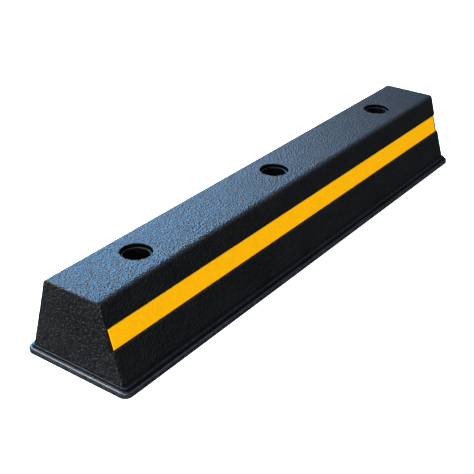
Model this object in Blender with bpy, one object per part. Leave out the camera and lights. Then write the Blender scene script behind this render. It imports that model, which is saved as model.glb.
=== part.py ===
"""Bolt-down parking wheel stop: a moulded rubber block with a reflective strip and three anchor holes.

Frame: metres, +Z up, ground at z = 0, origin under the middle of the block.
+X runs along the block and -Y is its front, the face that carries the strip.
Run it with Blender 4.5: blender --background --python part.py
"""

import math

import bmesh
import bpy
from mathutils import Vector

MM = 0.001
GAP = 0.3 * MM                      # clearance between pieces that touch on the real object

# Block
LENGTH = 750 * MM
WIDTH = 152 * MM
HEIGHT = 105.2 * MM
FLANGE_CORNER = 9.8 * MM            # plan radius of the flange's corners
END_FOOT_INSET = 4.75 * MM          # the end walls start this far inside the flange's edge
SIDE_FOOT_INSET = 9.37 * MM         # and the long walls this far
WALL_FOOT_HEIGHT = 10.9 * MM
WALL_CORNER = 1.6 * MM              # plan radius where a long wall meets an end wall
SIDE_SLOPE = math.radians(16.2)     # how far the long faces lean inwards
END_SLOPE = math.radians(0.3)       # moulding draft of the ends
SIDE_EDGE_RADIUS = 6.5 * MM         # top edge along the long faces
END_EDGE_RADIUS = 2.6 * MM          # top edge across the ends

# Flange section, from its outer edge inwards: a bead, a dip, and a step up to the ledge
SOLE_BEVEL = 1.2 * MM
BEAD_RADIUS = 2.1 * MM
BEAD_HEIGHT = 7.3 * MM
DIP_INSET = 3.7 * MM
DIP_HEIGHT = 6.8 * MM
STEP_LEAN = 0.65 * MM               # the step's face runs inwards by this much as it rises
LEDGE_INSET = 4.5 * MM
LEDGE_HEIGHT = 10.7 * MM
LEDGE_EDGE = 0.3 * MM

# Strip on the sloping front face, and its groove with a level lower wall
GROOVE_LOW = 49.5 * MM              # height of the lower wall
GROOVE_HIGH = 74.8 * MM             # height of the upper lip
GROOVE_DEPTH = 2.8 * MM             # square to the face
STRIP_LOW = 50.15 * MM              # height of the strip's lower outer edge
STRIP_WIDTH = 24.8 * MM
STRIP_THICKNESS = 1.0 * MM
STRIP_END_MARGIN = 5.0 * MM         # the strip stops this far short of the block's ends

# Anchor holes
HOLE_SPACING = 267 * MM
HOLE_NAMES = ("left", "middle", "right")
HOLE_RADIUS = 18.7 * MM
HOLE_RIM_BEVEL = 0.6 * MM
SEAT_HEIGHT = 40.0 * MM             # floor of the wide part of the hole
BOLT_HOLE_RADIUS = 9.0 * MM         # narrow part, down to the ground
SLEEVE_WALL = 3.0 * MM
SLEEVE_TOP_DEPTH = 4.5 * MM         # the sleeve's rim lies this far below the top face
WASHER_RADIUS = 15.0 * MM
WASHER_HOLE_RADIUS = 8.5 * MM
WASHER_THICKNESS = 3.0 * MM
METAL_BEVEL = 0.4 * MM

# Cored underside
OUTER_WALL = 15.0 * MM              # rubber left between a core and the outer faces
RIB = 10.0 * MM
CORE_DEPTH = 82.0 * MM
CORE_DRAFT = math.radians(1.2)
CORE_CORNER = 6.0 * MM
CORE_CROWN = 5.0 * MM               # rounding at the closed end of a core
HOLE_BLOCK_LENGTH = 64.0 * MM       # solid rubber across the block at each anchor hole
CORES_BETWEEN_HOLES = 3

CORNER_SEGMENTS = 6
EDGE_SEGMENTS = 5
BEAD_SEGMENTS = 6
ROUND_SEGMENTS = 48
CORE_CORNER_SEGMENTS = 3
OVERCUT = 10 * MM                   # how far a cutter runs past the face that it cuts

RUBBER_COLOUR = (0.010, 0.011, 0.012, 1.0)
STRIP_COLOUR = (0.95, 0.45, 0.01, 1.0)
STEEL_COLOUR = (0.12, 0.12, 0.12, 1.0)


def clear_scene():
    for obj in list(bpy.data.objects):
        bpy.data.objects.remove(obj, do_unlink=True)


def make_material(name, colour, roughness, metallic):
    material = bpy.data.materials.new(name)
    material.use_nodes = True
    shader = material.node_tree.nodes["Principled BSDF"]
    shader.inputs["Base Color"].default_value = colour
    shader.inputs["Roughness"].default_value = roughness
    shader.inputs["Metallic"].default_value = metallic
    material.diffuse_color = colour
    return material


def add_object(name, bm, material=None):
    """Turn a bmesh into a named object, with its faces pointing out."""
    bmesh.ops.recalc_face_normals(bm, faces=bm.faces)
    mesh = bpy.data.meshes.new(name)
    bm.to_mesh(mesh)
    bm.free()
    obj = bpy.data.objects.new(name, mesh)
    bpy.context.scene.collection.objects.link(obj)
    if material:
        mesh.materials.append(material)
    return obj


def add_lofted_rings(bm, rings):
    """Skin a stack of equal closed rings of points, and cap both ends."""
    loops = [[bm.verts.new(point) for point in ring] for ring in rings]
    for lower, upper in zip(loops, loops[1:]):
        for i in range(len(lower)):
            j = (i + 1) % len(lower)
            bm.faces.new((lower[i], lower[j], upper[j], upper[i]))
    bm.faces.new(list(reversed(loops[0])))
    bm.faces.new(loops[-1])


def corner_directions(segments):
    """For a rounded rectangle: (sign x, sign y, outward normal) of each point, anticlockwise."""
    directions = []
    for quarter, (sx, sy) in enumerate(((1, 1), (-1, 1), (-1, -1), (1, -1))):
        for step in range(segments + 1):
            angle = math.radians(90) * (quarter + step / segments)
            directions.append((sx, sy, Vector((math.cos(angle), math.sin(angle)))))
    return directions


def rounded_rectangle(half_x, half_y, radius, height, segments, centre=(0.0, 0.0)):
    """One level ring of points, anticlockwise from above."""
    ring = []
    for sx, sy, normal in corner_directions(segments):
        x = centre[0] + sx * (half_x - radius) + radius * normal.x
        y = centre[1] + sy * (half_y - radius) + radius * normal.y
        ring.append(Vector((x, y, height)))
    return ring


def flange_ring(inset, height):
    return rounded_rectangle(LENGTH / 2 - inset, WIDTH / 2 - inset, FLANGE_CORNER - inset,
                             height, CORNER_SEGMENTS)


def wall_half_sizes(height):
    """Half length and half width of the block's walls at a height, before any edge rounding."""
    rise = height - WALL_FOOT_HEIGHT
    half_x = LENGTH / 2 - END_FOOT_INSET - rise * math.tan(END_SLOPE)
    half_y = WIDTH / 2 - SIDE_FOOT_INSET - rise * math.tan(SIDE_SLOPE)
    return half_x, half_y


def edge_arc(radius, lean, fraction):
    """Inset and height of a point on the arc from a leaning wall (0) to the top face (1)."""
    angle = lean + (math.pi / 2 - lean) * fraction
    inset = radius * (1 - math.sin(lean)) / math.cos(lean) - radius * math.cos(angle)
    return inset, HEIGHT - radius + radius * math.sin(angle)


def top_edge_ring(fraction):
    """A ring on the rounded top edge; the ends and the long sides have their own arcs."""
    half_x, half_y = wall_half_sizes(HEIGHT)
    end_inset, end_height = edge_arc(END_EDGE_RADIUS, END_SLOPE, fraction)
    side_inset, side_height = edge_arc(SIDE_EDGE_RADIUS, SIDE_SLOPE, fraction)
    ring = rounded_rectangle(half_x - end_inset, half_y - side_inset, WALL_CORNER, 0.0, CORNER_SEGMENTS)
    for point, (_, _, normal) in zip(ring, corner_directions(CORNER_SEGMENTS)):
        point.z = end_height + (side_height - end_height) * normal.y ** 2
    return ring


def block_rings():
    """Every ring of the block's outside, from the sole up to the top face."""
    rings = [flange_ring(SOLE_BEVEL, 0.0), flange_ring(0.0, SOLE_BEVEL)]
    bead_centre = BEAD_HEIGHT - BEAD_RADIUS
    for step in range(BEAD_SEGMENTS + 1):
        angle = math.radians(120) * step / BEAD_SEGMENTS
        inset = BEAD_RADIUS * (1 - math.cos(angle))
        rings.append(flange_ring(inset, bead_centre + BEAD_RADIUS * math.sin(angle)))
    rings.append(flange_ring(DIP_INSET, DIP_HEIGHT))
    rings.append(flange_ring(DIP_INSET + STEP_LEAN, LEDGE_HEIGHT - LEDGE_EDGE))
    rings.append(flange_ring(LEDGE_INSET, LEDGE_HEIGHT))
    half_x, half_y = wall_half_sizes(WALL_FOOT_HEIGHT)
    rings.append(rounded_rectangle(half_x, half_y, WALL_CORNER, WALL_FOOT_HEIGHT, CORNER_SEGMENTS))
    for step in range(EDGE_SEGMENTS + 1):
        rings.append(top_edge_ring(step / EDGE_SEGMENTS))
    return rings


def add_turned_ring(bm, profile, centre_x, segments=ROUND_SEGMENTS):
    """Turn a closed profile of (radius, z) points about the vertical line at centre_x."""
    hoops = []
    for radius, z in profile:
        hoop = []
        for step in range(segments):
            angle = 2 * math.pi * step / segments
            hoop.append(bm.verts.new((centre_x + radius * math.cos(angle), radius * math.sin(angle), z)))
        hoops.append(hoop)
    for k, hoop in enumerate(hoops):
        following = hoops[(k + 1) % len(hoops)]
        for i in range(segments):
            j = (i + 1) % segments
            bm.faces.new((hoop[i], hoop[j], following[j], following[i]))


def add_turned_plug(bm, profile, centre_x, segments=ROUND_SEGMENTS):
    """Turn an open profile of (radius, z) points into a plug with flat round ends."""
    rings = []
    for radius, z in profile:
        points = []
        for step in range(segments):
            angle = 2 * math.pi * step / segments
            points.append(Vector((centre_x + radius * math.cos(angle), radius * math.sin(angle), z)))
        rings.append(points)
    add_lofted_rings(bm, rings)


def hole_centres():
    return [(name, (i - 1) * HOLE_SPACING) for i, name in enumerate(HOLE_NAMES)]


def add_cutter(name, bm, target):
    """Subtract a closed mesh from the target with a Boolean modifier that stays on it."""
    cutter = add_object(name, bm)
    cutter.display_type = "WIRE"
    cutter.hide_render = True
    modifier = target.modifiers.new(name, "BOOLEAN")
    modifier.operation = "DIFFERENCE"
    modifier.solver = "EXACT"
    modifier.object = cutter
    return cutter


def cut_anchor_holes(body):
    bm = bmesh.new()
    profile = [
        (BOLT_HOLE_RADIUS, -OVERCUT),
        (BOLT_HOLE_RADIUS, SEAT_HEIGHT),
        (HOLE_RADIUS, SEAT_HEIGHT),
        (HOLE_RADIUS, HEIGHT - HOLE_RIM_BEVEL),
        (HOLE_RADIUS + HOLE_RIM_BEVEL + OVERCUT, HEIGHT + OVERCUT),
    ]
    for _, x in hole_centres():
        add_turned_plug(bm, profile, x)
    add_cutter("anchor_hole_cutter", bm, body)


def in_front_face(height, depth, slide=0.0):
    """(y, z) of a point `depth` square inside the front face from a height on it, slid up the slope."""
    _, half_y = wall_half_sizes(height)
    y = -half_y + depth * math.cos(SIDE_SLOPE) + slide * math.sin(SIDE_SLOPE)
    z = height - depth * math.sin(SIDE_SLOPE) + slide * math.cos(SIDE_SLOPE)
    return y, z


def add_prism(bm, section, half_length):
    """Run a closed section of (y, z) points along X, about the middle."""
    add_lofted_rings(bm, [[Vector((x, y, z)) for y, z in section] for x in (-half_length, half_length)])


def cut_strip_groove(body):
    bm = bmesh.new()
    floor_inset = GROOVE_DEPTH / math.cos(SIDE_SLOPE)
    _, half_y = wall_half_sizes(GROOVE_LOW)
    section = [
        (-half_y - OVERCUT, GROOVE_LOW),
        (-half_y + floor_inset, GROOVE_LOW),
        in_front_face(GROOVE_HIGH, GROOVE_DEPTH),
        in_front_face(GROOVE_HIGH, -OVERCUT),
    ]
    add_prism(bm, section, LENGTH / 2 + OVERCUT)
    add_cutter("strip_groove_cutter", bm, body)


def core_spans():
    """The stretches in X that are cored out: between the hole blocks, and beyond the last ones."""
    between = HOLE_SPACING - HOLE_BLOCK_LENGTH
    core = (between - RIB * (CORES_BETWEEN_HOLES - 1)) / CORES_BETWEEN_HOLES
    start = HOLE_BLOCK_LENGTH / 2
    spans = [(start + i * (core + RIB), start + i * (core + RIB) + core) for i in range(CORES_BETWEEN_HOLES)]
    half_x, _ = wall_half_sizes(HEIGHT)
    spans.append((HOLE_SPACING + HOLE_BLOCK_LENGTH / 2, half_x - OUTER_WALL))
    return spans


def add_core(bm, x_low, x_high, side):
    """One tapered pocket from the sole up; its outer wall follows the block's sloping face."""
    def ring(height, shrink):
        rise = height * math.tan(CORE_DRAFT) + shrink
        _, wall = wall_half_sizes(height)
        y_inner = RIB / 2 + rise
        y_outer = wall - OUTER_WALL - shrink
        centre = ((x_low + x_high) / 2, side * (y_inner + y_outer) / 2)
        return rounded_rectangle((x_high - x_low) / 2 - rise, (y_outer - y_inner) / 2,
                                 CORE_CORNER - shrink / 2, height, CORE_CORNER_SEGMENTS, centre)

    add_lofted_rings(bm, [ring(-OVERCUT, 0.0), ring(CORE_DEPTH - CORE_CROWN, 0.0),
                          ring(CORE_DEPTH, CORE_CROWN)])


def cut_underside_cores(body):
    bm = bmesh.new()
    for low, high in core_spans():
        for side in (-1, 1):
            add_core(bm, low, high, side)
            add_core(bm, -high, -low, side)
    add_cutter("underside_core_cutter", bm, body)


def build_body():
    bm = bmesh.new()
    add_lofted_rings(bm, block_rings())
    body = add_object("body", bm, make_material("moulded_rubber", RUBBER_COLOUR, 0.55, 0.0))
    cut_anchor_holes(body)
    cut_strip_groove(body)
    cut_underside_cores(body)
    body.data.shade_smooth()
    body.data.set_sharp_from_angle(angle=math.radians(30))
    return body


def build_reflective_strip():
    bm = bmesh.new()
    half_x, _ = wall_half_sizes(GROOVE_HIGH)
    back = GROOVE_DEPTH - GAP
    front = back - STRIP_THICKNESS
    start = STRIP_LOW + front * math.sin(SIDE_SLOPE)
    section = [in_front_face(start, front), in_front_face(start, back),
               in_front_face(start, back, STRIP_WIDTH), in_front_face(start, front, STRIP_WIDTH)]
    add_prism(bm, section, half_x - STRIP_END_MARGIN)
    return add_object("front_reflective_strip", bm, make_material("strip_yellow", STRIP_COLOUR, 0.45, 0.0))


def bevelled_ring_profile(inner, outer, bottom, top):
    """Closed section of a plain ring with its four edges broken."""
    c = METAL_BEVEL
    return [
        (inner + c, bottom), (outer - c, bottom), (outer, bottom + c), (outer, top - c),
        (outer - c, top), (inner + c, top), (inner, top - c), (inner, bottom + c),
    ]


def build_hole_sleeve(name, x, material):
    bm = bmesh.new()
    outer = HOLE_RADIUS - GAP
    profile = bevelled_ring_profile(outer - SLEEVE_WALL, outer, SEAT_HEIGHT + GAP, HEIGHT - SLEEVE_TOP_DEPTH)
    add_turned_ring(bm, profile, x)
    sleeve = add_object("hole_sleeve_" + name, bm, material)
    sleeve.data.shade_smooth()
    sleeve.data.set_sharp_from_angle(angle=math.radians(30))
    return sleeve


def build_seat_washer(name, x, material):
    bm = bmesh.new()
    bottom = SEAT_HEIGHT + GAP
    profile = bevelled_ring_profile(WASHER_HOLE_RADIUS, WASHER_RADIUS, bottom, bottom + WASHER_THICKNESS)
    add_turned_ring(bm, profile, x)
    washer = add_object("seat_washer_" + name, bm, material)
    washer.data.shade_smooth()
    washer.data.set_sharp_from_angle(angle=math.radians(30))
    return washer


def main():
    clear_scene()
    build_body()
    build_reflective_strip()
    steel = make_material("dark_oxide_steel", STEEL_COLOUR, 0.5, 0.9)
    for name, x in hole_centres():
        build_hole_sleeve(name, x, steel)
        build_seat_washer(name, x, steel)


main()
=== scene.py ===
import math

import bmesh
import bpy
from mathutils import Matrix, Vector


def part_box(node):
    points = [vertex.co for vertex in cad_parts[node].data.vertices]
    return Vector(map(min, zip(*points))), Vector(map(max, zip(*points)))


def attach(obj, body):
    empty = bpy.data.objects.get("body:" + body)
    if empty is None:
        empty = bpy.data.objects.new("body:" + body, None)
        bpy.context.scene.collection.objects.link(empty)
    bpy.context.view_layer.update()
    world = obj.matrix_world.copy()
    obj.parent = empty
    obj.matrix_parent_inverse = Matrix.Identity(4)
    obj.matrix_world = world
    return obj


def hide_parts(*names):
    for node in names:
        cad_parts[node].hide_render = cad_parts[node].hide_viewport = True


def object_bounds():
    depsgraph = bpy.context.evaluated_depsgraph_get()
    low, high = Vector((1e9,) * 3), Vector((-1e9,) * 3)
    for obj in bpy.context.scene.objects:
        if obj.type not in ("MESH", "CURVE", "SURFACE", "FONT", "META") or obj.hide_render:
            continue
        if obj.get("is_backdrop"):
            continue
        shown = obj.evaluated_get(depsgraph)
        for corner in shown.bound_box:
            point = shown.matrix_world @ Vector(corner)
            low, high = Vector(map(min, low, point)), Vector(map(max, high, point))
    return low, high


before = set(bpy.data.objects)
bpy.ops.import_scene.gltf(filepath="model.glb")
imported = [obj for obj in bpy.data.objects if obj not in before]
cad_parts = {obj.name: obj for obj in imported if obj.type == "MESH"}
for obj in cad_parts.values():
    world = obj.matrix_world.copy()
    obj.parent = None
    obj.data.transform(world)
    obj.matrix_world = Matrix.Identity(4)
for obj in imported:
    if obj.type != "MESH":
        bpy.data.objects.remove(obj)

MM = 0.001

# ---------------------------------------------------------------- what the frame says

CAD_LOW, CAD_HIGH = (Vector(corner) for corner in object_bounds())
LENGTH = CAD_HIGH.x - CAD_LOW.x
WIDTH = CAD_HIGH.y - CAD_LOW.y
HEIGHT = CAD_HIGH.z
HOLE_NAMES = ("left", "middle", "right")


def node_centre_x(node):
    low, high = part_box(node)
    return (low.x + high.x) / 2


HOLE_CENTRES = {name: node_centre_x("hole_sleeve_" + name) for name in HOLE_NAMES}
HOLE_SPACING = HOLE_CENTRES["right"] - HOLE_CENTRES["middle"]
SLEEVE_LOW, SLEEVE_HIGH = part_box("hole_sleeve_middle")
WASHER_LOW, WASHER_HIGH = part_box("seat_washer_middle")
STRIP_LOW_CORNER, STRIP_HIGH_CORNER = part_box("front_reflective_strip")

# ---------------------------------------------------------------- sizes
# These are the CAD's sizes, except for STEP_LEAN (the CAD's step leans a little more), the hole's rim
# radius, and the small fillets, lips and broken edges, which only the finer pieces here have.

FLANGE_CORNER = 9.8 * MM
END_FOOT_INSET = 4.75 * MM
SIDE_FOOT_INSET = 9.37 * MM
WALL_FOOT_HEIGHT = 10.9 * MM
WALL_CORNER = 1.6 * MM
SIDE_SLOPE = math.radians(16.2)
END_SLOPE = math.radians(0.3)
SIDE_EDGE_RADIUS = 6.5 * MM
END_EDGE_RADIUS = 2.6 * MM

SOLE_EDGE = ((1.2, 0.0), (0.45, 0.22), (0.15, 0.5), (0.0, 1.2))     # (inset, height) in mm, from below
BEAD_RADIUS = 2.1 * MM
BEAD_HEIGHT = 7.3 * MM
BEAD_TURN = math.radians(120)           # how far round the bead goes, over its top and down to the dip
DIP_INSET = 3.7 * MM
DIP_HEIGHT = 6.8 * MM
DIP_FILLET = 0.5 * MM
STEP_LEAN = 0.35 * MM
LEDGE_HEIGHT = 10.7 * MM
LEDGE_EDGE = 0.3 * MM
FOOT_FILLET = 0.8 * MM
FOOT_FILLET_AT_ENDS = 0.1 * MM          # the ledge is narrower there
FOOT_SINK = 0.15 * MM                   # the fillet starts this far below the ledge
WALL_RINGS_BELOW_GROOVE = (14 * MM, 22 * MM, 34 * MM)
WALL_RING_ABOVE_GROOVE = 86 * MM

GROOVE_LOW = 49.5 * MM
GROOVE_HIGH = 74.8 * MM
GROOVE_DEPTH = 2.8 * MM
# the groove's lips: (height above its edge in mm, level depth in mm, wear), from below
GROOVE_LOWER_LIP = ((-0.7, 0.0, 0.0), (-0.3, 0.06, 0.15), (-0.08, 0.2, 0.3), (0.0, 0.5, 0.1))
GROOVE_UPPER_LIP = ((-0.14, 0.45, 0.0), (0.05, 0.18, 0.15), (0.35, 0.05, 0.1), (0.7, 0.0, 0.0))
GROOVE_FLOOR_RISE = 0.02 * MM           # of the lower wall, between its lip and the floor
STRIP_LOW = 50.15 * MM
STRIP_WIDTH = 24.8 * MM
STRIP_FRONT_DEPTH = 1.5 * MM
STRIP_BACK_DEPTH = 2.5 * MM
STRIP_EDGE = ((0.0, 0.35), (0.12, 0.12), (0.35, 0.02), (0.9, 0.0))  # (from the edge, dip) in mm
STRIP_END = ((0.0, 0.45), (0.12, 0.15), (0.4, 0.0))                 # (from the end, dip) in mm

HOLE_RADIUS = 18.7 * MM
HOLE_RIM_RADIUS = 0.8 * MM
SEAT_HEIGHT = 40.0 * MM
SEAT_FILLET = 0.5 * MM
BOLT_HOLE_RADIUS = 9.0 * MM
BOLT_HOLE_BREAK = 0.4 * MM
HOLE_MOUTH_BREAK = 0.6 * MM
SLEEVE_WALL = 3.0 * MM
SLEEVE_BREAK = 0.4 * MM
WASHER_HOLE_RADIUS = 8.5 * MM
WASHER_ROLL = 0.7 * MM
WASHER_BREAK = 0.15 * MM
RUBBED_DEPTH = 0.13 * MM                # steel is rubbed bright this far down from its highest points

OUTER_WALL = 15.0 * MM
RIB = 10.0 * MM
CORE_DEPTH = 82.0 * MM
CORE_DRAFT = math.radians(1.2)
CORE_CORNER = 6.0 * MM
CORE_CROWN = 5.0 * MM
CORE_MOUTH = ((0.0, 0.8 * MM), (0.25 * MM, 0.25 * MM), (0.8 * MM, 0.0))     # (height, flare)
HOLE_BLOCK_LENGTH = 64.0 * MM
CORES_BETWEEN_HOLES = 3

CORNER_SEGMENTS = 14
EDGE_SEGMENTS = 10
BEAD_SEGMENTS = 14
ROUND_SEGMENTS = 96
RIM_SEGMENTS = 6
CORE_CORNER_SEGMENTS = 6
CROWN_SEGMENTS = 5
STRIP_SEGMENTS = 60
SLEEVE_RIM_SEGMENTS = 16

# wear_and_sheen: how much paler the rubber is, from 0 to 1. It is real wear on the top edges, groove lips
# and hole rims, and a painted reflection and highlight on the flange's outer face, bead and ledge.
SOLE_WEAR_AND_REFLECTION = 0.8
BEAD_LEAST_SHEEN = 0.3
LEDGE_SHEEN = 0.8
TOP_EDGE_WEAR = 0.4
HOLE_RIM_WEAR = 0.3
FOOT_GRAIN = 0.3                        # grain: 0 is smooth rubber and 1 is fully grained

# ---------------------------------------------------------------- mesh helpers


def new_object(name, bm, material):
    bmesh.ops.recalc_face_normals(bm, faces=bm.faces)
    mesh = bpy.data.meshes.new(name)
    bm.to_mesh(mesh)
    bm.free()
    obj = bpy.data.objects.new(name, mesh)
    bpy.context.scene.collection.objects.link(obj)
    mesh.materials.append(material)
    mesh.shade_smooth()
    return obj


def weight_normals(obj, sharp_angle=40):
    """Keep flat faces flat where they meet a rounded edge."""
    obj.data.set_sharp_from_angle(angle=math.radians(sharp_angle))
    modifier = obj.modifiers.new("weighted_normals", "WEIGHTED_NORMAL")
    modifier.mode = "FACE_AREA"
    modifier.weight = 80
    modifier.keep_sharp = True


def bridge(bm, lower, upper):
    for i in range(len(lower)):
        j = (i + 1) % len(lower)
        bm.faces.new((lower[i], lower[j], upper[j], upper[i]))


def add_skin(bm, rings, surface=None):
    """Skin a stack of equal closed rings; returns the first and last loops of vertices.

    `surface` gives (grain, wear_and_sheen) for each ring, which the rubber's material reads: the paleness
    of wear, and on the flange a painted highlight and reflection.
    """
    grain = bm.verts.layers.float.get("grain") or bm.verts.layers.float.new("grain")
    wear_and_sheen = bm.verts.layers.float.get("wear_and_sheen") or bm.verts.layers.float.new("wear_and_sheen")
    loops = []
    for k, ring in enumerate(rings):
        loop = [bm.verts.new(point) for point in ring]
        for vert in loop:
            vert[grain], vert[wear_and_sheen] = surface[k] if surface else (0.0, 0.0)
        loops.append(loop)
    for lower, upper in zip(loops, loops[1:]):
        bridge(bm, lower, upper)
    return loops[0], loops[-1]


def loop_edges(bm, loop):
    return [bm.edges.get((vert, loop[(i + 1) % len(loop)])) for i, vert in enumerate(loop)]


def fill_flat(bm, loops):
    """Fill the level face between an outer loop and the loops of its holes."""
    edges = [edge for loop in loops for edge in loop_edges(bm, loop)]
    bmesh.ops.triangle_fill(bm, use_beauty=True, use_dissolve=False, edges=edges)


def corner_directions(segments):
    """For a rounded rectangle: (sign x, sign y, outward normal) of each point, anticlockwise."""
    directions = []
    for quarter, (sx, sy) in enumerate(((1, 1), (-1, 1), (-1, -1), (1, -1))):
        for step in range(segments + 1):
            angle = math.radians(90) * (quarter + step / segments)
            directions.append((sx, sy, Vector((math.cos(angle), math.sin(angle)))))
    return directions


def rounded_rectangle(half_x, half_y, radius, height, segments=CORNER_SEGMENTS, centre=(0.0, 0.0)):
    ring = []
    for sx, sy, normal in corner_directions(segments):
        x = centre[0] + sx * (half_x - radius) + radius * normal.x
        y = centre[1] + sy * (half_y - radius) + radius * normal.y
        ring.append(Vector((x, y, height)))
    return ring


def circle(radius, height, centre_x):
    ring = []
    for step in range(ROUND_SEGMENTS):
        angle = 2 * math.pi * step / ROUND_SEGMENTS
        ring.append(Vector((centre_x + radius * math.cos(angle), radius * math.sin(angle), height)))
    return ring


def arc(centre, radius, start, end, steps):
    """Points of a circular arc in a section, angles in degrees from the outward level direction."""
    points = []
    for step in range(steps + 1):
        angle = math.radians(start + (end - start) * step / steps)
        points.append((centre[0] + radius * math.cos(angle), centre[1] + radius * math.sin(angle)))
    return points


# ---------------------------------------------------------------- the rubber block


def flange_ring(inset, height):
    return rounded_rectangle(LENGTH / 2 - inset, WIDTH / 2 - inset, FLANGE_CORNER - inset, height)


def wall_half_sizes(height):
    rise = height - WALL_FOOT_HEIGHT
    half_x = LENGTH / 2 - END_FOOT_INSET - rise * math.tan(END_SLOPE)
    half_y = WIDTH / 2 - SIDE_FOOT_INSET - rise * math.tan(SIDE_SLOPE)
    return half_x, half_y


def wall_ring(height, groove_depth=0.0):
    """A ring of the walls; groove_depth, measured level, pushes only the front in."""
    half_x, half_y = wall_half_sizes(height)
    ring = rounded_rectangle(half_x, half_y, WALL_CORNER, height)
    for point in ring:
        point.y = max(point.y, -(half_y - groove_depth))
    return ring


def edge_arc(radius, lean, fraction):
    """Inset and height of a point on the arc from a leaning wall (0) to the top face (1)."""
    angle = lean + (math.pi / 2 - lean) * fraction
    inset = radius * (1 - math.sin(lean)) / math.cos(lean) - radius * math.cos(angle)
    return inset, HEIGHT - radius + radius * math.sin(angle)


def top_edge_ring(fraction):
    half_x, half_y = wall_half_sizes(HEIGHT)
    end_inset, end_height = edge_arc(END_EDGE_RADIUS, END_SLOPE, fraction)
    side_inset, side_height = edge_arc(SIDE_EDGE_RADIUS, SIDE_SLOPE, fraction)
    ring = rounded_rectangle(half_x - end_inset, half_y - side_inset, WALL_CORNER, 0.0)
    for point, (_, _, normal) in zip(ring, corner_directions(CORNER_SEGMENTS)):
        point.z = end_height + (side_height - end_height) * normal.y ** 2
    return ring


def flange_section():
    """(inset, height, wear_and_sheen) up the flange: sole edge, outer face, bead, dip, step and ledge. The
    paleness on the outer face, bead and ledge is a painted reflection and highlight.
    """
    section = [(inset * MM, height * MM, SOLE_WEAR_AND_REFLECTION) for inset, height in SOLE_EDGE]
    bead_centre = BEAD_HEIGHT - BEAD_RADIUS
    for step in range(BEAD_SEGMENTS + 1):
        angle = BEAD_TURN * step / BEAD_SEGMENTS
        inset = BEAD_RADIUS * (1 - math.cos(angle))
        height = bead_centre + BEAD_RADIUS * math.sin(angle)
        # painted highlight and reflection on the bead, palest on its outer face
        section.append((inset, height, max(BEAD_LEAST_SHEEN, math.cos(angle))))
    step_top = DIP_INSET + STEP_LEAN
    section += [
        (DIP_INSET - DIP_FILLET, DIP_HEIGHT - 0.05 * MM, 0.0),
        (DIP_INSET - 0.1 * MM, DIP_HEIGHT + 0.1 * MM, 0.0),
        (DIP_INSET, DIP_HEIGHT + DIP_FILLET, 0.0),
        (step_top, LEDGE_HEIGHT - LEDGE_EDGE, 0.0),
        # the ledge's edge is painted pale as a highlight line
        (step_top + 0.08 * MM, LEDGE_HEIGHT - 0.09 * MM, LEDGE_SHEEN),
        (step_top + 0.25 * MM, LEDGE_HEIGHT - 0.02 * MM, LEDGE_SHEEN),
    ]
    return section


def groove_rings():
    """Rings over the groove for the strip, with a small radius on each lip, and their wear."""
    level_depth = GROOVE_DEPTH / math.cos(SIDE_SLOPE)
    floor_high = GROOVE_HIGH - GROOVE_DEPTH * math.sin(SIDE_SLOPE)
    rings = [(GROOVE_LOW + up * MM, depth * MM, wear_and_sheen) for up, depth, wear_and_sheen in GROOVE_LOWER_LIP]
    rings.append((GROOVE_LOW + GROOVE_FLOOR_RISE, level_depth, 0.0))
    rings.append((floor_high, level_depth, 0.0))
    rings += [(GROOVE_HIGH + up * MM, depth * MM, wear_and_sheen) for up, depth, wear_and_sheen in GROOVE_UPPER_LIP]
    return [(wall_ring(height, depth), wear_and_sheen) for height, depth, wear_and_sheen in rings]


def block_rings():
    """All rings of the block from the sole up, with the grain, and the wear and painted sheen, of each."""
    rings, surface = [], []
    for inset, height, wear_and_sheen in flange_section():
        rings.append(flange_ring(inset, height))
        surface.append((0.0, wear_and_sheen))
    half_x, half_y = wall_half_sizes(WALL_FOOT_HEIGHT)
    for out, up in ((FOOT_FILLET, -FOOT_SINK), (0.3 * FOOT_FILLET, 0.1 * FOOT_FILLET), (0.0, FOOT_FILLET)):
        out_x = min(out, FOOT_FILLET_AT_ENDS)
        height = WALL_FOOT_HEIGHT + up
        rings.append(rounded_rectangle(half_x + out_x, half_y + out, WALL_CORNER + out_x, height))
        surface.append((FOOT_GRAIN, 0.0))
    for height in WALL_RINGS_BELOW_GROOVE:
        rings.append(wall_ring(height))
        surface.append((1.0, 0.0))
    for ring, wear_and_sheen in groove_rings():
        rings.append(ring)
        surface.append((1.0, wear_and_sheen))
    rings.append(wall_ring(WALL_RING_ABOVE_GROOVE))
    surface.append((1.0, 0.0))
    for step in range(EDGE_SEGMENTS + 1):
        fraction = step / EDGE_SEGMENTS
        rings.append(top_edge_ring(fraction))
        surface.append((1.0, TOP_EDGE_WEAR * math.sin(math.pi * fraction)))
    return rings, surface


def hole_rings(centre_x):
    """One anchor hole, from its rim in the top face down to its mouth in the sole."""
    rings, surface = [], []
    for step in range(RIM_SEGMENTS + 1):
        angle = math.radians(90) * step / RIM_SEGMENTS
        radius = HOLE_RADIUS + HOLE_RIM_RADIUS * (1 - math.sin(angle))
        rings.append(circle(radius, HEIGHT - HOLE_RIM_RADIUS * (1 - math.cos(angle)), centre_x))
        surface.append((1.0 - step / RIM_SEGMENTS, HOLE_RIM_WEAR * math.sin(2 * angle)))
    steps = (
        (HOLE_RADIUS, SEAT_HEIGHT + SEAT_FILLET),
        (HOLE_RADIUS - SEAT_FILLET, SEAT_HEIGHT),
        (BOLT_HOLE_RADIUS + BOLT_HOLE_BREAK, SEAT_HEIGHT),
        (BOLT_HOLE_RADIUS, SEAT_HEIGHT - BOLT_HOLE_BREAK),
        (BOLT_HOLE_RADIUS, HOLE_MOUTH_BREAK),
        (BOLT_HOLE_RADIUS + HOLE_MOUTH_BREAK, 0.0),
    )
    for radius, height in steps:
        rings.append(circle(radius, height, centre_x))
        surface.append((0.0, 0.0))
    return rings, surface


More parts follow.
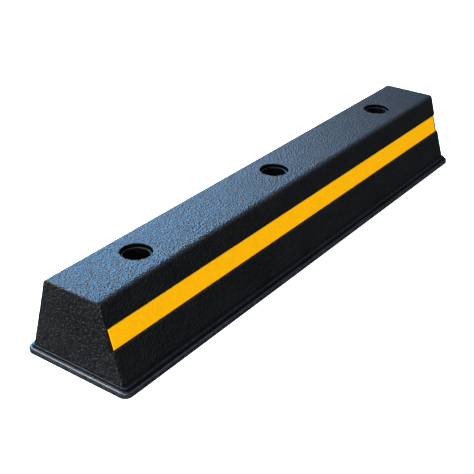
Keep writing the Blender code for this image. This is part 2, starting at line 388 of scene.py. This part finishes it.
def core_spans():
    """(low x, high x) of each pocket of the underside, on the +X side of the middle."""
    between = HOLE_SPACING - HOLE_BLOCK_LENGTH
    core = (between - RIB * (CORES_BETWEEN_HOLES - 1)) / CORES_BETWEEN_HOLES
    starts = [HOLE_BLOCK_LENGTH / 2 + i * (core + RIB) for i in range(CORES_BETWEEN_HOLES)]
    spans = [(start, start + core) for start in starts]
    half_x, _ = wall_half_sizes(HEIGHT)
    spans.append((HOLE_SPACING + HOLE_BLOCK_LENGTH / 2, half_x - OUTER_WALL))
    return spans


def core_rings(x_low, x_high, side):
    """One pocket of the underside, from its mouth in the sole to its rounded crown."""
    def ring(height, shrink, flare=0.0):
        rise = height * math.tan(CORE_DRAFT) + shrink - flare
        _, wall = wall_half_sizes(height)
        y_inner = RIB / 2 + rise
        y_outer = wall - OUTER_WALL - shrink + flare
        centre = ((x_low + x_high) / 2, side * (y_inner + y_outer) / 2)
        return rounded_rectangle((x_high - x_low) / 2 - rise, (y_outer - y_inner) / 2,
                                 CORE_CORNER - shrink / 2, height, CORE_CORNER_SEGMENTS, centre)

    rings = [ring(height, 0.0, flare) for height, flare in CORE_MOUTH]
    for step in range(CROWN_SEGMENTS + 1):
        angle = math.radians(90) * step / CROWN_SEGMENTS
        height = CORE_DEPTH - CORE_CROWN * (1 - math.sin(angle))
        rings.append(ring(height, CORE_CROWN * (1 - math.cos(angle))))
    return rings


def make_block(material, shaded_hole_material):
    """The block; its holes have their own darker, duller material from their rims down, painted near black
    as shade.
    """
    bm = bmesh.new()
    top_loops, sole_loops = [], []
    for centre_x in HOLE_CENTRES.values():
        rim, mouth = add_skin(bm, *hole_rings(centre_x))
        top_loops.append(rim)
        sole_loops.append(mouth)
    # the faces down the holes take the painted-shade material
    for face in bm.faces:
        if face.calc_center_median().z < HEIGHT - HOLE_RIM_RADIUS / 2:
            face.material_index = 1
    sole, top = add_skin(bm, *block_rings())
    top_loops.append(top)
    sole_loops.append(sole)
    for low, high in core_spans():
        for x_low, x_high in ((low, high), (-high, -low)):
            for side in (-1, 1):
                mouth, crown = add_skin(bm, core_rings(x_low, x_high, side))
                bm.faces.new(crown)
                sole_loops.append(mouth)
    fill_flat(bm, top_loops)
    fill_flat(bm, sole_loops)
    block = new_object("rubber_block", bm, material)
    block.data.materials.append(shaded_hole_material)
    weight_normals(block)
    return block


# ---------------------------------------------------------------- strip, sleeves and washers


def in_front_face(height, depth, slide=0.0):
    """(y, z) of a point `depth` square inside the front face from a height on it, slid up the slope."""
    _, half_y = wall_half_sizes(height)
    y = -half_y + depth * math.cos(SIDE_SLOPE) + slide * math.sin(SIDE_SLOPE)
    z = height - depth * math.sin(SIDE_SLOPE) + slide * math.cos(SIDE_SLOPE)
    return y, z


def make_strip(material):
    """The strip: a thin sheet with soft edges and ends."""
    start = STRIP_LOW + STRIP_FRONT_DEPTH * math.sin(SIDE_SLOPE)
    thickness = STRIP_BACK_DEPTH - STRIP_FRONT_DEPTH
    section = [(0.0, thickness)] + [(slide * MM, dip * MM) for slide, dip in STRIP_EDGE]
    section += [(STRIP_WIDTH - slide, depth) for slide, depth in reversed(section)]
    half_length = (STRIP_HIGH_CORNER.x - STRIP_LOW_CORNER.x) / 2
    stations = [(half_length - back * MM, dip * MM) for back, dip in STRIP_END]
    columns = [(-x, dip) for x, dip in stations]
    for step in range(1, STRIP_SEGMENTS):
        columns.append((-half_length + 2 * half_length * step / STRIP_SEGMENTS, 0.0))
    columns += [(x, dip) for x, dip in reversed(stations)]
    rings = []
    for x, dip in columns:
        ring = []
        for slide, depth in section:
            y, z = in_front_face(start, STRIP_FRONT_DEPTH + max(depth, dip), slide)
            ring.append(Vector((x, y, z)))
        rings.append(ring)
    bm = bmesh.new()
    first, last = add_skin(bm, rings)
    bm.faces.new(first)
    bm.faces.new(last)
    strip = new_object("reflective_strip_sheet", bm, material)
    weight_normals(strip, 50)
    return strip


def make_turned_ring(name, section, centre_x, material):
    """Turn a closed section of (radius, height) points; its highest points are rubbed bright."""
    bm = bmesh.new()
    hoops = [circle(radius, height, centre_x) for radius, height in section]
    top = max(height for _, height in section)
    surface = [(0.0, 1.0 if height > top - RUBBED_DEPTH else 0.0) for _, height in section]
    first, last = add_skin(bm, hoops, surface)
    bridge(bm, last, first)
    ring = new_object(name, bm, material)
    weight_normals(ring, 50)
    return ring


def make_sleeve(name, centre_x, material):
    """A cut length of tube: a half-round rim, rubbed along its crest, and a broken lower edge."""
    outer = (SLEEVE_HIGH.x - SLEEVE_LOW.x) / 2
    inner = outer - SLEEVE_WALL
    low, high = SLEEVE_LOW.z, SLEEVE_HIGH.z
    rim = SLEEVE_WALL / 2
    section = [(outer - SLEEVE_BREAK, low), (outer, low + SLEEVE_BREAK)]
    section += arc((outer - rim, high - rim), rim, 0, 180, SLEEVE_RIM_SEGMENTS)
    section += [(inner, low + SLEEVE_BREAK), (inner + SLEEVE_BREAK, low)]
    return make_turned_ring("steel_sleeve_" + name, section, centre_x, material)


def make_washer(name, centre_x, material):
    """A punched washer: rolled upper edges and barely broken lower ones."""
    outer = (WASHER_HIGH.x - WASHER_LOW.x) / 2
    inner = WASHER_HOLE_RADIUS
    low, high = WASHER_LOW.z, WASHER_HIGH.z
    section = [(outer - WASHER_BREAK, low), (outer, low + WASHER_BREAK)]
    section += arc((outer - WASHER_ROLL, high - WASHER_ROLL), WASHER_ROLL, 0, 90, RIM_SEGMENTS)
    section += arc((inner + WASHER_ROLL, high - WASHER_ROLL), WASHER_ROLL, 90, 180, RIM_SEGMENTS)
    section += [(inner, low + WASHER_BREAK), (inner + WASHER_BREAK, low)]
    return make_turned_ring("steel_washer_" + name, section, centre_x, material)


# ---------------------------------------------------------------- materials


class Nodes:
    """Short names for adding and joining shader nodes. Texture scales are in features per metre."""

    def __init__(self, name):
        self.material = bpy.data.materials.new(name)
        self.material.use_nodes = True
        self.tree = self.material.node_tree
        self.shader = self.tree.nodes["Principled BSDF"]
        self.place = self.add("ShaderNodeTexCoord").outputs["Object"]

    def add(self, kind, **settings):
        node = self.tree.nodes.new(kind)
        for key, value in settings.items():
            setattr(node, key, value)
        return node

    def feed(self, socket, value):
        if isinstance(value, bpy.types.NodeSocket):
            self.tree.links.new(value, socket)
        else:
            socket.default_value = value

    def noise(self, scale, detail=2.0, roughness=0.5, place=None):
        node = self.add("ShaderNodeTexNoise")
        self.feed(node.inputs["Vector"], place or self.place)
        self.feed(node.inputs["Scale"], scale)
        self.feed(node.inputs["Detail"], detail)
        self.feed(node.inputs["Roughness"], roughness)
        return node.outputs["Fac"]

    def along_block(self):
        """The distance along the block from its middle, in metres."""
        node = self.add("ShaderNodeSeparateXYZ")
        self.feed(node.inputs[0], self.place)
        return node.outputs["X"]

    def cells(self, scale, smoothness):
        node = self.add("ShaderNodeTexVoronoi", feature="SMOOTH_F1")
        self.feed(node.inputs["Vector"], self.place)
        self.feed(node.inputs["Scale"], scale)
        self.feed(node.inputs["Smoothness"], smoothness)
        return node.outputs["Distance"]

    def stretch(self, scale):
        node = self.add("ShaderNodeMapping")
        self.feed(node.inputs["Vector"], self.place)
        self.feed(node.inputs["Scale"], scale)
        return node.outputs["Vector"]

    def maths(self, operation, first, second=0.0):
        node = self.add("ShaderNodeMath", operation=operation)
        self.feed(node.inputs[0], first)
        self.feed(node.inputs[1], second)
        return node.outputs[0]

    def remap(self, value, low, high, new_low, new_high):
        node = self.add("ShaderNodeMapRange")
        for key, item in zip(("Value", "From Min", "From Max", "To Min", "To Max"),
                             (value, low, high, new_low, new_high)):
            self.feed(node.inputs[key], item)
        return node.outputs["Result"]

    def blend(self, amount, first, second):
        node = self.add("ShaderNodeMix", data_type="RGBA")
        self.feed(node.inputs["Factor"], amount)
        self.feed(node.inputs["A"], first)
        self.feed(node.inputs["B"], second)
        return node.outputs["Result"]

    def attribute(self, name):
        return self.add("ShaderNodeAttribute", attribute_name=name).outputs["Fac"]

    def bump(self, height, strength, distance, base=None):
        node = self.add("ShaderNodeBump")
        self.feed(node.inputs["Height"], height)
        self.feed(node.inputs["Strength"], strength)
        self.feed(node.inputs["Distance"], distance)
        if base is not None:
            self.feed(node.inputs["Normal"], base)
        return node.outputs["Normal"]

    def surface(self, **sockets):
        for name, value in sockets.items():
            self.feed(self.shader.inputs[name.replace("_", " ")], value)
        return self.material


RUBBER_DEEP = (0.0019, 0.0024, 0.0033, 1.0)
RUBBER_BLOOM = (0.0033, 0.0040, 0.0052, 1.0)
# painted shade: the near-black colour of the rubber down the holes
HOLE_PAINTED_SHADE = (0.0006, 0.0007, 0.0009, 1.0)
# pale bluish rubber: worn edges, and the painted highlight and reflection on the flange's outer face, bead
# and ledge
RUBBER_WORN_AND_SHEEN = (0.037, 0.047, 0.060, 1.0)
# painted glints: pale flecks that stand in for light catching the grain, mostly on the ends
RUBBER_GLINT_FLECK = (0.054, 0.054, 0.055, 1.0)
END_GLINTS_START = LENGTH / 2 - 8.5 * MM    # the painted glints of the grain: pale flecks, strong on the ends alone, where light grazes the grain
END_GLINTS_FULL = LENGTH / 2 - 6.5 * MM
GLINTS_ELSEWHERE = 0.1
PEBBLES_PER_M = 460.0
WAVES_PER_M = 260.0
GLINT_FLECKS_PER_M = 430.0


def rubber_material():
    """Moulded black rubber: leather grain above the flange, faint bloom, pale flecks that paint glints of
    the grain on the ends, and paler edges that are partly wear and partly a painted highlight and
    reflection on the flange.
    """
    n = Nodes("moulded_black_rubber")
    grain, wear_and_sheen = n.attribute("grain"), n.attribute("wear_and_sheen")
    from_middle = n.maths("ABSOLUTE", n.along_block())
    glint_strength = n.remap(from_middle, END_GLINTS_START, END_GLINTS_FULL, GLINTS_ELSEWHERE, 1.0)
    pebbles = n.cells(PEBBLES_PER_M, 0.2)
    fine = n.noise(1300.0, 3.0, 0.6)
    speckle = n.noise(300.0, 3.0, 0.65)
    patches = n.noise(26.0, 4.0, 0.55)
    drift = n.noise(5.0, 2.0)
    colour = n.blend(n.remap(patches, 0.35, 0.7, 0.0, 1.0), RUBBER_DEEP, RUBBER_BLOOM)
    # painted glints of the grain, strong on the ends alone
    glint_flecks = n.remap(n.noise(GLINT_FLECKS_PER_M, 2.0, 0.6), 0.56, 0.68, 0.0, 1.0)
    glint_flecks = n.maths("MULTIPLY", glint_flecks, n.maths("MULTIPLY", grain, glint_strength))
    colour = n.blend(glint_flecks, colour, RUBBER_GLINT_FLECK)
    # paler where worn, and painted pale where the flange should catch a highlight or reflection
    rubbed_and_sheen = n.maths("MULTIPLY", wear_and_sheen, n.remap(n.noise(180.0, 3.0), 0.4, 0.7, 0.3, 0.7))
    colour = n.blend(rubbed_and_sheen, colour, RUBBER_WORN_AND_SHEEN)
    hollows = n.remap(pebbles, 0.2, 0.75, 0.0, 0.08)
    grained = n.maths("ADD", n.remap(drift, 0.3, 0.7, 0.44, 0.50), hollows)
    grained = n.maths("ADD", grained, n.remap(speckle, 0.35, 0.65, -0.08, 0.08))
    smooth = n.remap(drift, 0.3, 0.7, 0.25, 0.30)
    rough = n.maths("ADD", smooth, n.maths("MULTIPLY", grain, n.maths("SUBTRACT", grained, smooth)))
    rough = n.maths("ADD", rough, n.remap(patches, 0.3, 0.7, -0.03, 0.03))
    waves = n.bump(n.noise(WAVES_PER_M, 1.0), n.maths("MULTIPLY", grain, 0.6), 0.0018)
    pebble_bump = n.bump(pebbles, n.maths("MULTIPLY", grain, 0.74), 0.0016, waves)
    fine_bump = n.bump(fine, n.remap(grain, 0.0, 1.0, 0.06, 0.4), 0.0004, pebble_bump)
    n.shader.inputs["Specular IOR Level"].default_value = 0.22
    return n.surface(Base_Color=colour, Roughness=rough, Normal=fine_bump)


def shaded_hole_rubber_material():
    """The same rubber down the holes, painted near black as shade and duller, with faint draw marks from
    the moulding pins.
    """
    n = Nodes("shaded_hole_rubber")
    dust = n.noise(90.0, 4.0, 0.6)
    marks = n.noise(5.0, 3.0, 0.6, n.stretch((160.0, 160.0, 12.0)))
    colour = n.blend(n.remap(dust, 0.5, 0.75, 0.0, 0.35), HOLE_PAINTED_SHADE, RUBBER_DEEP)
    rough = n.remap(dust, 0.3, 0.7, 0.78, 0.9)
    normal = n.bump(marks, 0.3, 0.0003)
    n.shader.inputs["Specular IOR Level"].default_value = 0.01
    return n.surface(Base_Color=colour, Roughness=rough, Normal=normal)


STRIP_YELLOW = (0.98, 0.500, 0.0006, 1.0)
STRIP_DEEP = (0.83, 0.380, 0.0008, 1.0)


def strip_material():
    """Yellow reflective sheet: nearly even, slightly mottled, with fine beads under a satin film."""
    n = Nodes("reflective_yellow_sheet")
    beads = n.cells(1900.0, 0.2)
    cloud = n.noise(40.0, 4.0, 0.6)
    mottle = n.noise(420.0, 2.0, 0.6)
    colour = n.blend(n.remap(cloud, 0.3, 0.7, 0.0, 0.5), STRIP_YELLOW, STRIP_DEEP)
    colour = n.blend(n.remap(mottle, 0.38, 0.62, 0.0, 0.9), colour, STRIP_DEEP)
    colour = n.blend(n.remap(beads, 0.2, 0.7, 0.0, 0.35), colour, STRIP_DEEP)
    rough = n.remap(n.noise(300.0, 3.0), 0.3, 0.7, 0.55, 0.68)
    ripple = n.bump(n.noise(90.0, 2.0), 0.15, 0.0004)
    normal = n.bump(beads, 0.12, 0.0002, ripple)
    n.shader.inputs["Specular IOR Level"].default_value = 0.12
    return n.surface(Base_Color=colour, Roughness=rough, Normal=normal)


# painted shade: the steel is near black so that it reads as shade down the holes
STEEL_SHADE_BLACK = (0.0020, 0.0021, 0.0024, 1.0)
STEEL_RUST = (0.006, 0.0042, 0.003, 1.0)
STEEL_BARE = (0.042, 0.040, 0.038, 1.0)


def steel_material():
    """Steel painted near black as shade down the holes: turning marks round the piece, faint rust, rims
    rubbed bright.
    """
    n = Nodes("dark_oxide_steel")
    wear_and_sheen = n.attribute("wear_and_sheen")
    blotches = n.noise(110.0, 4.0, 0.6)
    marks = n.noise(4.0, 2.0, 0.5, n.stretch((20.0, 20.0, 900.0)))
    # near-black steel as painted shade, blotched with dark rust
    colour = n.blend(n.remap(blotches, 0.5, 0.75, 0.0, 0.6), STEEL_SHADE_BLACK, STEEL_RUST)
    bare = n.maths("MULTIPLY", wear_and_sheen, n.remap(n.noise(160.0, 3.0), 0.3, 0.6, 0.45, 1.0))
    colour = n.blend(bare, colour, STEEL_BARE)
    rough = n.maths("SUBTRACT", n.remap(blotches, 0.3, 0.7, 0.62, 0.78), n.maths("MULTIPLY", bare, 0.08))
    normal = n.bump(n.maths("ADD", marks, n.noise(900.0, 2.0)), 0.25, 0.0002)
    n.shader.inputs["Metallic"].default_value = 0.95
    n.shader.inputs["Specular IOR Level"].default_value = 0.1
    return n.surface(Base_Color=colour, Roughness=rough, Normal=normal)


# ---------------------------------------------------------------- studio

VIEW_AZIMUTH = math.radians(53.31)      # the camera looks this far round from +Y towards +X
VIEW_PITCH = math.radians(28.88)
VIEW_DISTANCE = 1.3205
VIEW_OFFSET_RIGHT = 0.04814             # where the middle of the sole sits from the view's centre
VIEW_OFFSET_UP = -0.00458
LENS = 74.29


def make_camera():
    forward = Vector((math.sin(VIEW_AZIMUTH) * math.cos(VIEW_PITCH),
                      math.cos(VIEW_AZIMUTH) * math.cos(VIEW_PITCH),
                      -math.sin(VIEW_PITCH)))
    right = Vector((math.cos(VIEW_AZIMUTH), -math.sin(VIEW_AZIMUTH), 0.0))
    up = right.cross(forward)
    place = -forward * VIEW_DISTANCE - right * VIEW_OFFSET_RIGHT - up * VIEW_OFFSET_UP
    data = bpy.data.cameras.new("camera")
    data.lens = LENS
    data.sensor_width = 36.0
    data.clip_end = 100
    camera = bpy.data.objects.new("camera", data)
    rotation = Matrix((right, up, -forward)).transposed()
    camera.matrix_world = Matrix.Translation(place) @ rotation.to_4x4()
    bpy.context.scene.collection.objects.link(camera)
    bpy.context.scene.camera = camera


FLOOR_HALF_SIZE = 30
FLOOR_DROP = 0.2 * MM                   # keeps the floor clear of the sole


def make_floor():
    """A plain white floor for the camera; it neither lights the object nor shows in its sheen."""
    bm = bmesh.new()
    bmesh.ops.create_grid(bm, x_segments=1, y_segments=1, size=FLOOR_HALF_SIZE)
    n = Nodes("studio_floor")
    n.surface(Base_Color=(0.8, 0.8, 0.8, 1.0), Roughness=1.0,
              Emission_Color=(1, 1, 1, 1), Emission_Strength=1.0)
    floor = new_object("studio_floor", bm, n.material)
    floor.location.z = -FLOOR_DROP
    floor.visible_diffuse = False
    floor.visible_glossy = False
    floor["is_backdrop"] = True


WORLD_LIGHT = (0.022, 0.026, 0.030)


def make_world():
    """White behind everything for the camera, and a weak even light for the object."""
    world = bpy.data.worlds.new("studio")
    world.use_nodes = True
    tree = world.node_tree
    light = tree.nodes["Background"]
    light.inputs["Color"].default_value = (*WORLD_LIGHT, 1.0)
    backdrop = tree.nodes.new("ShaderNodeBackground")
    backdrop.inputs["Color"].default_value = (1, 1, 1, 1)
    rays = tree.nodes.new("ShaderNodeLightPath")
    mix = tree.nodes.new("ShaderNodeMixShader")
    tree.links.new(rays.outputs["Is Camera Ray"], mix.inputs[0])
    tree.links.new(light.outputs[0], mix.inputs[1])
    tree.links.new(backdrop.outputs[0], mix.inputs[2])
    tree.links.new(mix.outputs[0], tree.nodes["World Output"].inputs["Surface"])
    bpy.context.scene.world = world


# name: (place, size, colour times power in watts). The sheen lights stand where the near part of the
# top mirrors them to the camera. right_low is for the right end, and too low to light the top.
LIGHTS = {
    "sheen_end": ((0.25, 0.72, 0.72), 0.5, (0.2, 16.5, 39.0)),
    "sheen_near": ((0.55, 0.62, 0.62), 0.5, (7.0, 6.4, 5.4)),
    "back_low": ((0.6, 2.6, 0.9), 1.2, (39.0, 47.0, 56.0)),
    "back_left_high": ((-0.8, 1.1, 1.7), 0.9, (119.0, 129.0, 138.0)),
    "key_far": ((-24.0, -12.0, 13.8), 14.0, (17700.0, 17800.0, 17900.0)),
    "right_high": ((2.4, -2.6, 3.4), 1.6, (45.0, 45.0, 45.0)),
    "right_low": ((2.4, 0.5, 0.05), 0.08, (15.0, 15.0, 15.0)),
}


def make_lights():
    for name, (place, size, power) in LIGHTS.items():
        strongest = max(power)
        data = bpy.data.lights.new(name, "AREA")
        data.shape = "SQUARE"
        data.size = size
        data.energy = strongest
        data.color = [channel / strongest for channel in power]
        light = bpy.data.objects.new(name, data)
        light.location = place
        light.rotation_euler = (-Vector(place)).to_track_quat("-Z", "Y").to_euler()
        light.visible_camera = False
        bpy.context.scene.collection.objects.link(light)


make_camera()
make_floor()
make_world()
make_lights()
bpy.context.scene.view_settings.view_transform = "Standard"

block = make_block(rubber_material(), shaded_hole_rubber_material())
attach(block, "root")
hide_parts("body")

strip = make_strip(strip_material())
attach(strip, "root")
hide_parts("front_reflective_strip")

steel = steel_material()
for name, centre_x in HOLE_CENTRES.items():
    for make, node in ((make_sleeve, "hole_sleeve_"), (make_washer, "seat_washer_")):
        piece = make(name, centre_x, steel)
        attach(piece, "root")
        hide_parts(node + name)
